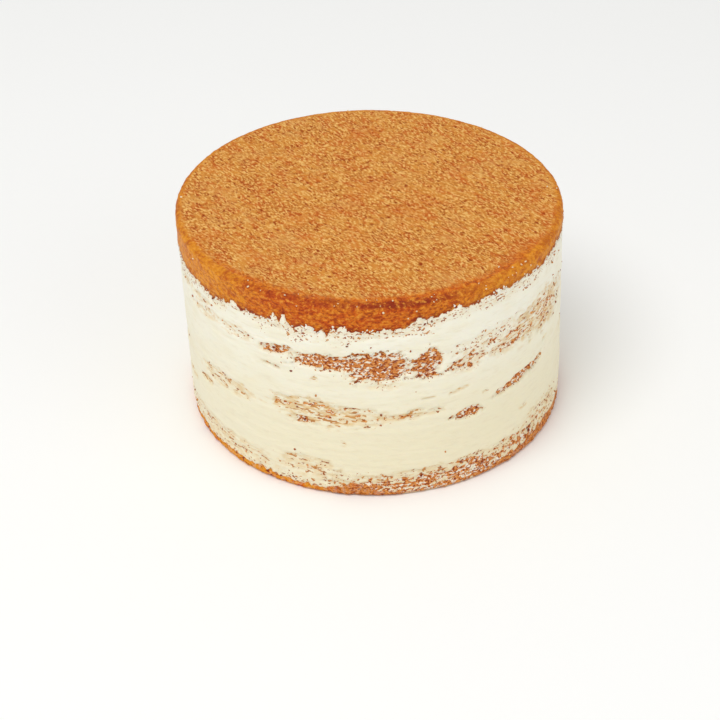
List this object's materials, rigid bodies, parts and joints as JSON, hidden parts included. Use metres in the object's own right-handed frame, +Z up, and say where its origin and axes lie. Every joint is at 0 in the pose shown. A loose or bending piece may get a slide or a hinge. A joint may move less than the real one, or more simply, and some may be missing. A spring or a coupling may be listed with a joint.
{
  "type": "layer cake",
  "caption": "Round sponge layer cake filled with cream, its side thinly coated and scraped so that the sponge shows in bands; golden brown crumb top and foot.",
  "frame": {"origin": "middle of the underside, on the surface that the cake stands on", "axes": "+Z up; -Y is the front, the side that faces the viewer; +X to the viewer's right"},
  "size_m": [0.2005, 0.201, 0.1146],
  "materials": {
    "sponge": "open, moist sponge crumb, matt",
    "sponge_crust": "golden brown baked crumb, matt and finely pitted",
    "cream": "whipped cream scraped smooth with a palette knife, soft sheen"
  },
  "bodies": {
    "root": {"sponge_base": "sponge", "cream_lower": "cream", "sponge_lower": "sponge", "cream_middle": "cream", "sponge_upper": "sponge", "cream_upper": "cream", "sponge_top": "sponge_crust", "cream_coat": "cream"}
  },
  "joints": []
}
